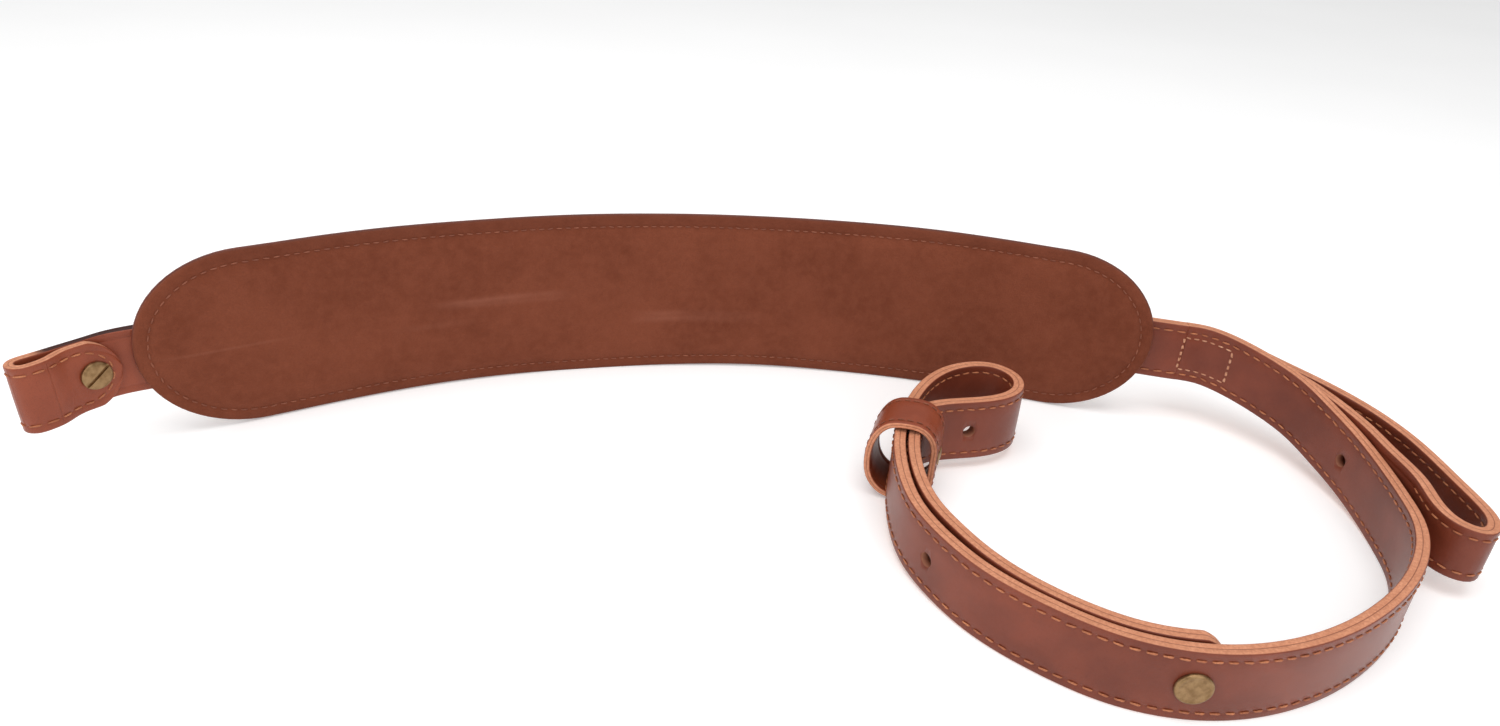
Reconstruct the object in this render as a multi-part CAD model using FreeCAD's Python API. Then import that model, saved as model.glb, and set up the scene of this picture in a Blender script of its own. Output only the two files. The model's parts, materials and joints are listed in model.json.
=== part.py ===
import FreeCAD, Part
import math
import os

os.makedirs("parts", exist_ok=True)
V = FreeCAD.Vector
UP = V(0, 0, 1)

# ---------------------------------------------------------------- driving dimensions (mm)
PAD_LENGTH = 415.0        # shoulder pad, measured along its suede face
PAD_HEIGHT = 72.0
BEND_RADIUS = 345.0       # the pad lies bent to this radius, its last inches stay straight
BENT_SHARE = 0.723        # share of the pad's length that is bent
NOSE = 40.0               # length of the rounded nose at each end of the pad
LINING = 1.2              # suede lining
FOAM = 2.6
COVER = 1.6               # grain leather cover
RIM = 9.0                 # sewn rim outside the foam

STRAP = 25.4              # one inch strap
PLY = 2.2                 # the sling strap is two plies
END_PLY = 1.6             # the short end strap is two thinner plies
STRAP_RISE = 20.0         # bottom edge of the strap where it leaves the pad
HEM = 3.0                 # stitching to strap edge
THREAD = 0.28
THREAD_WIDE = 0.8
SKIN = 0.12               # stitching lies this far off the leather

SLING_SPREAD = 1.0        # scales the loop the sling strap makes on the table
BEND_OUT = 4.0            # right bending line, past the pad's end
END_OUT = 6.0             # left bending line, past the pad's end
LEFT_TURN = 21.0          # degrees the short end strap is bent forwards from the pad

HOLE = 2.5                # punched hole radius
HEAD = 5.5                # binding post and screw heads
HEAD_THICK = 1.5
HOLE_PLAY = 0.1           # between a post's barrel and its hole
BARREL = HOLE - HOLE_PLAY
SHANK = BARREL - 1.0

END_REACH = 29.2          # short end strap, bending line to the start of its fold
FOLD = 3.7                # mid radius of that fold
END_SCREW_AT = 9.0
FLAP_TIP = 0.2            # end of the flap, from the bending line
HAND_WIDE = 20.0          # strap of the carrying loop
KEEPER_LONG = 20.0
KEEPER_PLY = 1.2
RIVET = 2.5

# stations along the sling strap, from its bending line at the pad
BOX_FROM, BOX_TO = 8.0, 30.0
HOLE_SIDE = 89.0 * SLING_SPREAD
POST_AT = 266.0 * SLING_SPREAD
HOLE_FRONT = 351.0 * SLING_SPREAD
KEEPER_AT = 413.0 * SLING_SPREAD
LOOP_END = 498.0 * SLING_SPREAD     # the doubled-back tail is counted from here
LOOP_HOLE = 528.0 * SLING_SPREAD

# bottom edge of the sling strap on the table: along the pad, away from the pad, height
RUN = [
    (-PLY, 0, 18.5), (8, 1, 18.4), (17.5, 2.6, 17.7), (31, -1, 15.8), (43.5, -7.5, 13.1), (54, -15, 10.1),
    (63, -26, 6.6), (71, -39.5, 3.4), (77, -56.5, 0.9), (80, -74, 0), (80.5, -89.5, 0),
    (77, -106.5, 0), (69.5, -124, 0), (58, -141.5, 0), (43, -158, 0), (24.5, -171.5, 0),
    (3.5, -179.5, 0), (-16, -180.5, 0), (-35.5, -175.5, 0), (-54, -167, 0.1), (-69, -155.5, 0.8),
    (-81, -142, 2.2), (-88, -127, 3.8), (-92.5, -105.5, 4.4), (-92, -80, 4.4), (-87, -58, 4.4),
    (-77, -43.5, 4.4), (-66, -39, 4.4), (-57, -44, 4.4), (-54.5, -55, 4.4), (-59, -63.5, 4.4),
    (-68, -70.5, 4.4), (-77, -75.5, 4.4),
]
# the carrying loop between the places where it leaves the sling strap
HAND = [
    (85.5, -67, 9), (89, -82.5, 7.6), (93.5, -88, 7.2), (99.5, -89, 7), (103.5, -83, 7.1),
    (102.5, -72.5, 7.6), (98.5, -61, 8.3), (89, -38, 10), (77, -22, 11.8), (62.5, -9.5, 13.4),
]

# ---------------------------------------------------------------- derived sizes
PAD_THICK = LINING + FOAM + COVER
STRAP_THICK = 2 * PLY
END_THICK = 2 * END_PLY
BENT = PAD_LENGTH * BENT_SHARE / 2
PAD_END = PAD_LENGTH / 2
CARRIER_MID = PAD_THICK + PLY
MID = STRAP / 2


# ---------------------------------------------------------------- the bent pad
def pad_frame(s):
    """Point on the suede face, direction towards +s and outward normal, s from the middle."""
    a = max(-BENT, min(BENT, s)) / BEND_RADIUS
    out = V(math.sin(a), math.cos(a), 0)
    along = V(math.cos(a), -math.sin(a), 0)
    point = out * BEND_RADIUS + V(0, -BEND_RADIUS, 0)
    return point + along * (s - a * BEND_RADIUS), along, out


def pad_point(s, off, z=0):
    point, along, out = pad_frame(s)
    return point + out * off + UP * z


def band(s0, s1, off0, off1, z0, z1):
    """Upright layer that follows the pad: straight, arc, straight in plan."""
    edges = []
    for off in (off0, off1):
        a, b, c, d = (pad_point(s, off, z0) for s in (s0, -BENT, BENT, s1))
        edges.append([Part.makeLine(a, b), Part.Arc(b, pad_point(0, off, z0), c).toShape(),
                      Part.makeLine(c, d)])
    ends = [Part.makeLine(pad_point(s, off0, z0), pad_point(s, off1, z0)) for s in (s0, s1)]
    wire = Part.Wire(Part.__sortEdges__(edges[0] + [ends[1]] + edges[1] + [ends[0]]))
    return Part.Face(wire).extrude(UP * (z1 - z0))


def oval(inset, off0, off1):
    """A pad layer with rounded noses, inset all round from the pad's outline."""
    end, nose, half = PAD_END - inset, NOSE - inset, PAD_HEIGHT / 2 - inset
    layer = band(nose - end, end - nose, off0, off1, inset, PAD_HEIGHT - inset)
    for side in (-1, 1):
        point, along, out = pad_frame(side * (end - nose))
        centre = point + out * off0 + UP * PAD_HEIGHT / 2
        tip, crown = centre + along * side * nose, centre + UP * half
        curve = Part.Ellipse(tip, crown, centre) if nose >= half else Part.Ellipse(crown, tip, centre)
        disc = Part.Face(Part.Wire(curve.toShape())).extrude(out * (off1 - off0))
        low, far = centre - out - UP * (half + 1), along * side * (nose + 1)
        high = low + UP * (2 * half + 2)
        outer = Part.Face(Part.makePolygon([low, low + far, high + far, high, low]))
        layer = layer.fuse(disc.common(outer.extrude(out * (off1 - off0 + 2))))
    return layer.removeSplitter()


# ---------------------------------------------------------------- straps on edge
class Path:
    """Plan line of a strap's bottom edge, with stations by distance along it."""

    def __init__(self, points, start=0.0):
        self.curve = Part.BSplineCurve()
        self.curve.interpolate(points)
        self.start = start
        self.end = start + self.curve.length()

    def frame(self, s):
        u = self.curve.parameterAtDistance(s - self.start, self.curve.FirstParameter)
        along = self.curve.tangent(u)[0]
        along = V(along.x, along.y, 0).normalize()
        point = self.curve.value(u)
        point.z = max(point.z, 0)
        return point, along, V(-along.y, along.x, 0)

    def point(self, s, off, z=0):
        point, along, left = self.frame(s)
        return point + left * off + UP * z


def rail(points, stations):
    curve = Part.BSplineCurve()
    curve.interpolate(Points=points, Parameters=stations)
    return curve


def strip(path, s0, s1, off0, off1, z0, z1, step=5.0):
    """Solid between two offsets of a path and two heights above its bottom edge, faced in short lengths."""
    count = max(3, int(round((s1 - s0) / step)))
    stations = [s0 + (s1 - s0) * i / count for i in range(count + 1)]
    corners = [(off0, z0), (off1, z0), (off1, z1), (off0, z1)]
    rows = [[path.point(s, off, z) for s in stations] for off, z in corners]
    rails = [rail(row, stations) for row in rows]
    faces = []
    for i in range(0, count, 5):
        edges = [curve.toShape(stations[i], stations[min(i + 5, count)]) for curve in rails]
        faces += [Part.makeRuledSurface(edges[k], edges[(k + 1) % 4], 1) for k in range(4)]
    for k in (0, -1):
        loop = [row[k] for row in rows]
        faces.append(Part.Face(Part.makePolygon(loop + [loop[0]])))
    shell = Part.makeShell(faces)
    shell.sewShape()
    solid = Part.makeSolid(Part.Shell(shell.Faces))
    if solid.Volume < 0:
        solid.reverse()
    return solid


def post_hole(path, s, radius, off0, off1, z=MID):
    point, along, left = path.frame(s)
    return Part.makeCylinder(radius, off1 - off0, point + left * off0 + UP * z, left)


def knuckle(solid, centre, along, radius):
    """Round the start of a strap about its bending line."""
    across = V(-along.y, along.x, 0)
    low = V(centre.x, centre.y, -5)
    size = radius + 1
    corners = [low - along * size - across * size, low - across * size,
               low + across * size, low - along * size + across * size]
    block = Part.Face(Part.makePolygon(corners + [corners[0]])).extrude(UP * 90)
    return solid.cut(block.cut(Part.makeCylinder(radius, 90, low)))


def tongue(solid, path, s_tip, width):
    """Round the far end of a strap in elevation."""
    r = 0.53 * width
    point, along, left = path.frame(s_tip - r)
    centre = point - left * 12 + UP * width / 2
    low, far = centre - UP * (r + 1), along * (r + 3)
    high = low + UP * (2 * r + 2)
    square = Part.Face(Part.makePolygon([low, low + far, high + far, high, low])).extrude(left * 24)
    return solid.cut(square.cut(Part.makeCylinder(r, 24, centre, left)))


def stitching(path, s0, s1, off, side, width=STRAP, skin=SKIN):
    """Two rows of stitching on one face of a strap; side is +1 on the outer face."""
    near, far = off + side * skin, off + side * (skin + THREAD)
    lo, hi = min(near, far), max(near, far)
    rows = []
    for z in (HEM, width - HEM):
        rows.append(strip(path, s0, s1, lo, hi, z - THREAD_WIDE / 2, z + THREAD_WIDE / 2))
    return rows


def flange_post(point, axis, barrel_long, bore):
    """Binding post: flange head behind the leather, hollow barrel through it along axis."""
    head = Part.makeCylinder(HEAD, HEAD_THICK, point - axis * HEAD_THICK, axis)
    post = head.fuse(Part.makeCylinder(BARREL, barrel_long, point, axis)).removeSplitter()
    post = post.cut(Part.makeCylinder(bore, barrel_long, point + axis * 0.4, axis))
    rim = [e for e in post.Edges if abs(e.Length - 2 * math.pi * HEAD) < 0.01
           and (e.CenterOfMass - (point - axis * HEAD_THICK)).Length < 0.01]
    return post.makeFillet(0.7, rim)


def slotted_screw(point, axis, shank_long, tilt):
    """Cheese head on the leather at point, shank along axis, slot turned by tilt degrees."""
    head = Part.makeCylinder(HEAD - 0.25, HEAD_THICK, point - axis * HEAD_THICK, axis)
    screw = head.fuse(Part.makeCylinder(SHANK, shank_long, point, axis)).removeSplitter()
    rim = [e for e in screw.Edges if abs(e.Length - 2 * math.pi * (HEAD - 0.25)) < 0.01
           and (e.CenterOfMass - (point - axis * HEAD_THICK)).Length < 0.01]
    screw = screw.makeFillet(0.5, rim)
    across = V(-axis.y, axis.x, 0)
    along = across * math.cos(math.radians(tilt)) + UP * math.sin(math.radians(tilt))
    wide = along.cross(axis)
    start = point - axis * (HEAD_THICK + 1) - along * HEAD - wide * 0.5
    slot = Part.Face(Part.makePolygon([start, start + along * 2 * HEAD, start + along * 2 * HEAD + wide,
                                       start + wide, start])).extrude(axis * 1.8)
    return screw.cut(slot)


nodes = {}

# ---------------------------------------------------------------- shoulder pad
nodes["pad_lining"] = oval(0, 0, LINING)
nodes["pad_foam"] = oval(RIM, LINING, LINING + FOAM)
nodes["pad_cover"] = oval(0, LINING, PAD_THICK).cut(nodes["pad_foam"])
right_end = PAD_END + BEND_OUT - PLY - 0.2
left_end = -(PAD_END + END_OUT - PLY - 0.2)
seam_front = oval(4.3, -SKIN - THREAD, -SKIN).cut(oval(5.1, -SKIN - THREAD - 1, 1))
seam_back = oval(4.3, PAD_THICK + SKIN, PAD_THICK + SKIN + THREAD)
seam_back = seam_back.cut(oval(5.1, PAD_THICK - 1, PAD_THICK + 2))
clear = band(left_end - 5, right_end + 5, PAD_THICK - 1, PAD_THICK + 2,
             STRAP_RISE - 0.3, STRAP_RISE + STRAP + 0.3)
nodes["pad_thread"] = Part.makeCompound(seam_front.Solids + seam_back.cut(clear).Solids)

# ---------------------------------------------------------------- strap sewn along the back of the pad
top = STRAP_RISE + STRAP
nodes["carrier_inner_ply"] = band(left_end, right_end, PAD_THICK, CARRIER_MID, STRAP_RISE, top)
nodes["carrier_outer_ply"] = band(left_end, right_end, CARRIER_MID, PAD_THICK + STRAP_THICK, STRAP_RISE, top)
back = PAD_THICK + STRAP_THICK + SKIN
nodes["carrier_thread"] = Part.makeCompound([
    band(left_end + 2, right_end - 2, back, back + THREAD, z - THREAD_WIDE / 2, z + THREAD_WIDE / 2)
    for z in (STRAP_RISE + HEM, top - HEM)])

# ---------------------------------------------------------------- short end strap and its flap
edge, along, out = pad_frame(-(PAD_END + END_OUT))
LEFT = edge + out * CARRIER_MID
heading = math.atan2(-along.y, -along.x) + math.radians(LEFT_TURN)
ex = V(math.cos(heading), math.sin(heading), 0)
ey = V(-ex.y, ex.x, 0)


def end_at(x, y, z=0.0):
    return LEFT + ex * x + ey * y + UP * (STRAP_RISE + z)


def end_layer(off0, off1):
    """One ply of the end strap: straight, then round the fold; off counts towards the fold's inside."""
    lines = []
    for off in (off0, off1):
        r = FOLD - off
        a, b = end_at(-END_PLY, off), end_at(END_REACH, off)
        lines.append([Part.makeLine(a, b),
                      Part.Arc(b, end_at(END_REACH + r, FOLD), end_at(END_REACH, FOLD + r)).toShape()])
    caps = [Part.makeLine(end_at(-END_PLY, off0), end_at(-END_PLY, off1)),
            Part.makeLine(end_at(END_REACH, 2 * FOLD - off0), end_at(END_REACH, 2 * FOLD - off1))]
    wire = Part.Wire(Part.__sortEdges__(lines[0] + [caps[1]] + lines[1] + [caps[0]]))
    ply = Part.Face(wire).extrude(UP * STRAP)
    ply = knuckle(ply, LEFT, ex, END_PLY)
    hole = Part.makeCylinder(HOLE, END_THICK + 2, end_at(END_SCREW_AT, -END_PLY - 1, MID), ey)
    return ply.cut(hole)


nodes["end_strap_outer_ply"] = end_layer(-END_PLY, 0)
nodes["end_strap_inner_ply"] = end_layer(0, END_PLY)
flap_gap = 0.25
flap_y = END_THICK + flap_gap
flap_x = END_REACH - END_PLY - 0.2
FLAP_LINE = end_at(flap_x, 2 * FOLD)
rise = 2 * FOLD - flap_y
flap_plan = [(flap_x + END_PLY, 2 * FOLD), (flap_x, 2 * FOLD), (flap_x - 3.2, 2 * FOLD - 0.1 * rise),
             (flap_x - 6.6, 2 * FOLD - 0.45 * rise), (flap_x - 9.7, flap_y + 0.19 * rise),
             (flap_x - 12.7, flap_y + 0.025 * rise), (flap_x - 16.2, flap_y), (5, flap_y), (FLAP_TIP, flap_y)]
flap_path = Path([end_at(x, y) for x, y in flap_plan])
flap_from, flap_tip = 0.0, flap_path.end
for name, off0, off1 in (("end_flap_outer_ply", 0, END_PLY), ("end_flap_inner_ply", -END_PLY, 0)):
    # the flap runs back towards the pad, so its left-hand side faces the back strap
    ply = strip(flap_path, flap_from, flap_tip, -off1, -off0, 0, STRAP, 1.5)
    ply = knuckle(ply, FLAP_LINE, ex * -1, END_PLY)
    ply = tongue(ply, flap_path, flap_tip, STRAP)
    hole = Part.makeCylinder(HOLE, END_THICK + 2, end_at(END_SCREW_AT, flap_y - END_PLY - 1, MID), ey)
    nodes[name] = ply.cut(hole)

end_line = Path([end_at(x, 0) for x in (0.5, 8, 16, END_REACH)])
nodes["end_thread"] = Part.makeCompound(
    stitching(end_line, 1, END_REACH - 1.5, -END_PLY, -1)
    + stitching(end_line, 18, END_REACH - 1.5, END_PLY, 1))
nodes["end_flap_thread"] = Part.makeCompound(stitching(flap_path, 3, flap_tip - MID, -END_PLY, -1))

head_at = end_at(END_SCREW_AT, -END_PLY, MID)
nodes["end_post"] = flange_post(head_at - ey * 0.05, ey, END_THICK, SHANK + 0.55)
screw_at = end_at(END_SCREW_AT, flap_y + END_PLY + 0.12, MID)
nodes["end_screw"] = slotted_screw(screw_at, ey * -1, END_THICK + flap_gap + 0.12 + 1.2, -35)

# ---------------------------------------------------------------- sling strap, end loop and tail
edge, along, out = pad_frame(PAD_END + BEND_OUT)
RIGHT = edge + out * CARRIER_MID


def table(x, y, z=0.0):
    """Sling coordinates: x onwards from the pad's end, y across it, z above the table."""
    return RIGHT + along * x + out * y + UP * z


def laid(points):
    lift = STRAP_RISE / RUN[0][2]
    k = SLING_SPREAD
    return [table(x * k if x > 0 else x * (k if y else 1), y * k, z * lift if i < 12 else z)
            for i, (x, y, z) in enumerate(points)]


def tail_gap(s):
    """Air between the sling strap and the tail that lies along its inside."""
    slack = max(0.0, 1 - abs(s / SLING_SPREAD - 345) / 45)
    return 0.9 + 1.1 * slack * slack * (3 - 2 * slack)


first = Path(laid(RUN), -PLY)
steps = [SLING_SPREAD * s for s in (424, 414, 403, 391, 378, 364, 349, 333, 316, 298, 282, 266, 258, 252)]
beside = [first.point(s, -(STRAP_THICK + tail_gap(s))) for s in steps]
sling = Path(laid(RUN) + beside, -PLY)
TIP = sling.end


def nearest(path, point, s0, s1):
    """Station of a path closest to a point in plan."""
    flat = V(point.x, point.y, 0)
    span = [s0 + (s1 - s0) * i / 400 for i in range(401)]
    return min(span, key=lambda s: (V(path.point(s, 0).x, path.point(s, 0).y, 0) - flat).Length)


tail_post = nearest(sling, first.point(POST_AT, -(STRAP_THICK + tail_gap(POST_AT))), LOOP_END + 60, TIP)
tip = tail_post + 11.5
punches = [post_hole(sling, s, HOLE, -PLY - 1, PLY + 1) for s in (HOLE_SIDE, HOLE_FRONT, POST_AT)]
tail_punches = [post_hole(sling, LOOP_HOLE, HOLE, -PLY - 1, PLY + 1)]
tail_punches.append(post_hole(sling, POST_AT, HOLE, -3 * PLY - 4, PLY + 1))
for name, off0, off1 in (("inner", -PLY, 0), ("outer", 0, PLY)):
    main = knuckle(strip(sling, -PLY, LOOP_END, off0, off1, 0, STRAP), RIGHT, along, PLY)
    tail = tongue(strip(sling, LOOP_END, tip, off0, off1, 0, STRAP), sling, tip, STRAP)
    for punch in punches:
        main = main.cut(punch)
    for punch in tail_punches:
        tail = tail.cut(punch)
    nodes["sling_" + name + "_ply"] = main
    nodes["tail_" + name + "_ply"] = tail
nodes["sling_thread"] = Part.makeCompound(
    stitching(sling, 1, LOOP_END - 0.3, -PLY, -1, skin=SKIN / 2)
    + stitching(sling, 112 * SLING_SPREAD, LOOP_END - 0.3, PLY, 1, skin=SKIN / 2))
nodes["tail_thread"] = Part.makeCompound(
    stitching(sling, LOOP_END + 0.3, LOOP_HOLE - 8, -PLY, -1, skin=SKIN / 2)
    + stitching(sling, LOOP_END + 0.3, tip - MID, PLY, 1, skin=SKIN / 2))

# ---------------------------------------------------------------- carrying loop behind the sling strap
LEG_GAP = 0.35
back1, back2 = STRAP_THICK + LEG_GAP, 2 * (STRAP_THICK + LEG_GAP)
drop = [(6, 17.3), (14, 17.3), (22, 17.0), (32, 16.3)]
lift = STRAP_RISE / 18.5


def hand_point(s, off, z):
    point = sling.point(s * SLING_SPREAD, off)
    return V(point.x, point.y, z * lift)


leaving = [(44, 15), (58, 13.5), (74, 11.9), (90, 10.4), (102, 9.5)]
hand_out = [hand_point(s, back1, z) for s, z in drop + leaving]
hand_back = [hand_point(s, back2, z) for s, z in reversed(drop + [(42, 15)])]
hand = Path(hand_out + [table(x * SLING_SPREAD, y * SLING_SPREAD, z * lift) for x, y, z in HAND] + hand_back)
nodes["hand_loop_outer_ply"] = strip(hand, 0, hand.end, -PLY, 0, 0, HAND_WIDE)
nodes["hand_loop_inner_ply"] = strip(hand, 0, hand.end, 0, PLY, 0, HAND_WIDE)
k = SLING_SPREAD
reach = nearest(hand, table(HAND[0][0] * k, HAND[0][1] * k), 60 * k, 150 * k)
nodes["hand_loop_thread"] = Part.makeCompound(
    stitching(hand, reach, hand.end - 4, -PLY, -1, HAND_WIDE, 2 * SKIN)
    + stitching(hand, 72 * k, hand.end - 66 * k, PLY, 1, HAND_WIDE, 2 * SKIN))
box_z0, box_z1 = 5.0, STRAP - 4.9
face = -PLY - SKIN
seam = strip(sling, BOX_FROM, BOX_TO, face - THREAD, face, box_z0, box_z1)
seam = seam.cut(strip(sling, BOX_FROM + 0.8, BOX_TO - 0.8, face - 1, face + 1, box_z0 + 0.8, box_z1 - 0.8))
nodes["box_stitch"] = seam

# ---------------------------------------------------------------- binding post and screw of the sling
point, along_post, left = sling.frame(POST_AT)
depth = STRAP_THICK + tail_gap(POST_AT) + STRAP_THICK
head_at = point + left * (PLY + 0.05) + UP * MID
nodes["sling_post"] = flange_post(head_at, left * -1, depth - 0.4, SHANK + 0.06)
inner = point - left * (depth - PLY + 0.3) + UP * MID
nodes["sling_screw"] = slotted_screw(inner, left, depth - 2.5, 20)

# ---------------------------------------------------------------- sliding keeper
k_point, k_along, k_left = sling.frame(KEEPER_AT)
k_low = k_point - k_along * KEEPER_LONG / 2 + UP * MID
PINCH = STRAP_THICK * 1.5 + tail_gap(KEEPER_AT)
tight, bulge, tall = PINCH + 4.7, PLY + 6.8, MID + 1.4
ring = [(bulge, -1), (bulge - 1.4, 7.5), (3.2, tall - 1), (-2, tall + 0.1), (-8, tall - 0.6),
        (-tight + 0.6, tall - 4.7), (-tight, 4.4), (-tight, -4.4), (-tight + 0.6, 4.7 - tall),
        (-8, 0.6 - tall), (-2, -tall - 0.1), (3.2, 1 - tall), (bulge - 1.4, -8.5)]
loop = Part.BSplineCurve()
loop.interpolate([V(a, b, 0) for a, b in ring], True)


def ring_face(off):
    """Closed outline of the keeper, off outside its bore."""
    first_u, last_u = loop.FirstParameter, loop.LastParameter
    around = []
    for i in range(48):
        u = first_u + (last_u - first_u) * i / 48
        p, t = loop.value(u), loop.tangent(u)[0]
        outward = V(t.y, -t.x, 0)
        if outward.dot(p) < 0:
            outward = outward * -1
        q = p + outward * off
        around.append(k_low + k_left * q.x + UP * q.y)
    curve = Part.BSplineCurve()
    curve.interpolate(around, True)
    return Part.Face(Part.Wire(curve.toShape()))


def ring_solid(off):
    return ring_face(off).extrude(k_along * KEEPER_LONG)


bore, seam_ring, skin = ring_solid(0), ring_solid(KEEPER_PLY), ring_solid(2 * KEEPER_PLY)
lining, outer = seam_ring.cut(bore), skin.cut(seam_ring)
wall = tight + 2 * KEEPER_PLY + 0.2
rivets = [(5.6, 1.8), (13.4, -1.0)]
caps, shafts = [], []
for far, z in rivets:
    start = k_low + k_along * far + UP * z - k_left * (tight - 1.5)
    shaft = Part.makeCylinder(1.0, 2 * KEEPER_PLY + 3, start, k_left * -1)
    lining, outer = lining.cut(shaft), outer.cut(shaft)
    shafts.append(shaft.common(skin.cut(bore)))
    cap = Part.makeCylinder(RIVET, 0.7, k_low + k_along * far + UP * z - k_left * wall, k_left * -1)
    tips = [e for e in cap.Edges if abs((e.CenterOfMass - k_low).dot(k_left) + wall + 0.7) < 0.01]
    caps.append(cap.makeFillet(0.45, tips))
nodes["keeper_lining"] = lining
nodes["keeper_outer"] = outer
nodes["keeper_rivet_posts"] = Part.makeCompound(shafts)
nodes["keeper_rivet_caps"] = Part.makeCompound(caps)
skin_out = ring_face(2 * KEEPER_PLY + SKIN)
thread_out = ring_face(2 * KEEPER_PLY + SKIN + THREAD)
rows = []
for far in (2.2, KEEPER_LONG - 2.2 - THREAD_WIDE):
    tube = thread_out.extrude(k_along * THREAD_WIDE).cut(skin_out.extrude(k_along * THREAD_WIDE))
    tube.translate(k_along * far)
    rows.append(tube)
nodes["keeper_thread"] = Part.makeCompound(rows)

# ---------------------------------------------------------------- one frame, then one STEP file each
box = FreeCAD.BoundBox()
for shape in nodes.values():
    box.add(shape.optimalBoundingBox(False, False))
shift = V(-(box.XMin + box.XMax) / 2, -(box.YMin + box.YMax) / 2, -box.ZMin)
for name, shape in nodes.items():
    shape.translate(shift)
    assert shape.isValid(), name
    assert shape.Volume > 0, name
    shape.exportStep("parts/" + name + ".step")
    print("%-22s %2d solid %10.1f mm3" % (name, len(shape.Solids), shape.Volume))

print("size", [round(v, 2) for v in (box.XLength, box.YLength, box.ZLength)])
centres = {
    "left bend": LEFT, "flap bend": FLAP_LINE, "end screw": screw_at, "right bend": RIGHT,
    "sling screw": inner, "keeper": k_point + UP * MID, "shift": V(0, 0, 0),
    "hole side": sling.point(HOLE_SIDE, 0, MID), "hole front": sling.point(HOLE_FRONT, 0, MID),
    "hole loop": sling.point(LOOP_HOLE, 0, MID), "post": point + UP * MID,
}
for name, centre in centres.items():
    print(name, [round(v, 3) for v in centre + shift])
directions = {
    "end strap": ex, "end strap across": ey, "post axis": left, "keeper along": k_along, "keeper left": k_left,
    "hole side axis": sling.frame(HOLE_SIDE)[2], "hole front axis": sling.frame(HOLE_FRONT)[2],
    "hole loop axis": sling.frame(LOOP_HOLE)[2],
}
for name, axis in directions.items():
    print(name, [round(v, 4) for v in axis])
print("stations: tip %.1f, tail post %.1f, strap end %.1f" % (tip, tail_post, TIP))
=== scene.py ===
# %% [markdown]
# # A padded leather carrying strap
# This lesson dresses a leather carrying strap: a bent shoulder pad lined with suede, a short end strap
# closed by a slotted screw, and a long strap that doubles back on itself through a keeper. The solid
# model gives the sizes and the moving bodies, and each cell below makes one real thing: a surface, a
# strap, a row of stitches, a screw.

# %% Set up the lesson
import json
import math

import bpy
import numpy as np
from mathutils import Matrix, Vector, noise


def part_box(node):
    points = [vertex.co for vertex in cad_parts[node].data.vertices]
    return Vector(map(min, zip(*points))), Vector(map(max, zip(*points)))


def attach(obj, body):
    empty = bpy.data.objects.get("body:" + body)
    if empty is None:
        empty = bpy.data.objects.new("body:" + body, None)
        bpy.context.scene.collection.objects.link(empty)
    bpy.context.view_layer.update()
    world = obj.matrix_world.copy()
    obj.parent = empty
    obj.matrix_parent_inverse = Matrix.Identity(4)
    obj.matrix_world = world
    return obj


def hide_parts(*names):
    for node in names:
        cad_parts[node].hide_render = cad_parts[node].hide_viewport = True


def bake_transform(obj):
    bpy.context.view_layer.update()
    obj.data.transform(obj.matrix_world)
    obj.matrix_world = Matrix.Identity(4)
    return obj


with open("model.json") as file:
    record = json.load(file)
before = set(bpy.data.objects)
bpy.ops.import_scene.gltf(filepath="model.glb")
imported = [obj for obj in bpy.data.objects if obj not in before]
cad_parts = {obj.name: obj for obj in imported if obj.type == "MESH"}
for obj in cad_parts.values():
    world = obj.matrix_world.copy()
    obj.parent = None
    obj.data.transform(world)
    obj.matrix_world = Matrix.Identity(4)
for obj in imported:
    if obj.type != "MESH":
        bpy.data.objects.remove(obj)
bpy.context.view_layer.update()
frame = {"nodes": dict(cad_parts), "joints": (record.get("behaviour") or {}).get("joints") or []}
MM = 0.001
rng = np.random.default_rng(11)
UP = np.array([0.0, 0.0, 1.0])
joints = {joint["name"]: joint for joint in frame["joints"]}

# %% [markdown]
# ## Shader maths written as arithmetic
# A finish is easier to read as a formula than as a web of links. The class below wraps one output
# socket, so that `1 - mask` or `pores * 0.4 + dust` builds the Math nodes by itself. Colours go through
# Mix nodes, and every other node comes from one method that takes its type, its settings and its inputs.

# %% A small shader helper


class Wire:
    """One output socket of a material, usable in arithmetic."""

    def __init__(self, finish, socket):
        self.finish, self.socket = finish, socket

    def maths(self, operation, *others, clamp=False):
        settings = {"operation": operation, "use_clamp": clamp}
        return self.finish.node("Math", settings, dict(enumerate((self,) + others)))

    def __add__(self, other):
        return self.maths("ADD", other)

    def __sub__(self, other):
        return self.maths("SUBTRACT", other)

    def __mul__(self, other):
        return self.maths("MULTIPLY", other)

    def __truediv__(self, other):
        return self.maths("DIVIDE", other)

    def __pow__(self, other):
        return self.maths("POWER", other)

    def __radd__(self, other):
        return self.finish.number(other).maths("ADD", self)

    def __rsub__(self, other):
        return self.finish.number(other).maths("SUBTRACT", self)

    def __rmul__(self, other):
        return self.finish.number(other).maths("MULTIPLY", self)

    def __rtruediv__(self, other):
        return self.finish.number(other).maths("DIVIDE", self)

    def __abs__(self):
        return self.maths("ABSOLUTE")

    def ramp(self, low, high):
        """0 below low, 1 above high, smooth between."""
        settings = {"interpolation_type": "SMOOTHSTEP"}
        return self.finish.node("MapRange", settings, {"Value": self, "From Min": low, "From Max": high})


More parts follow.
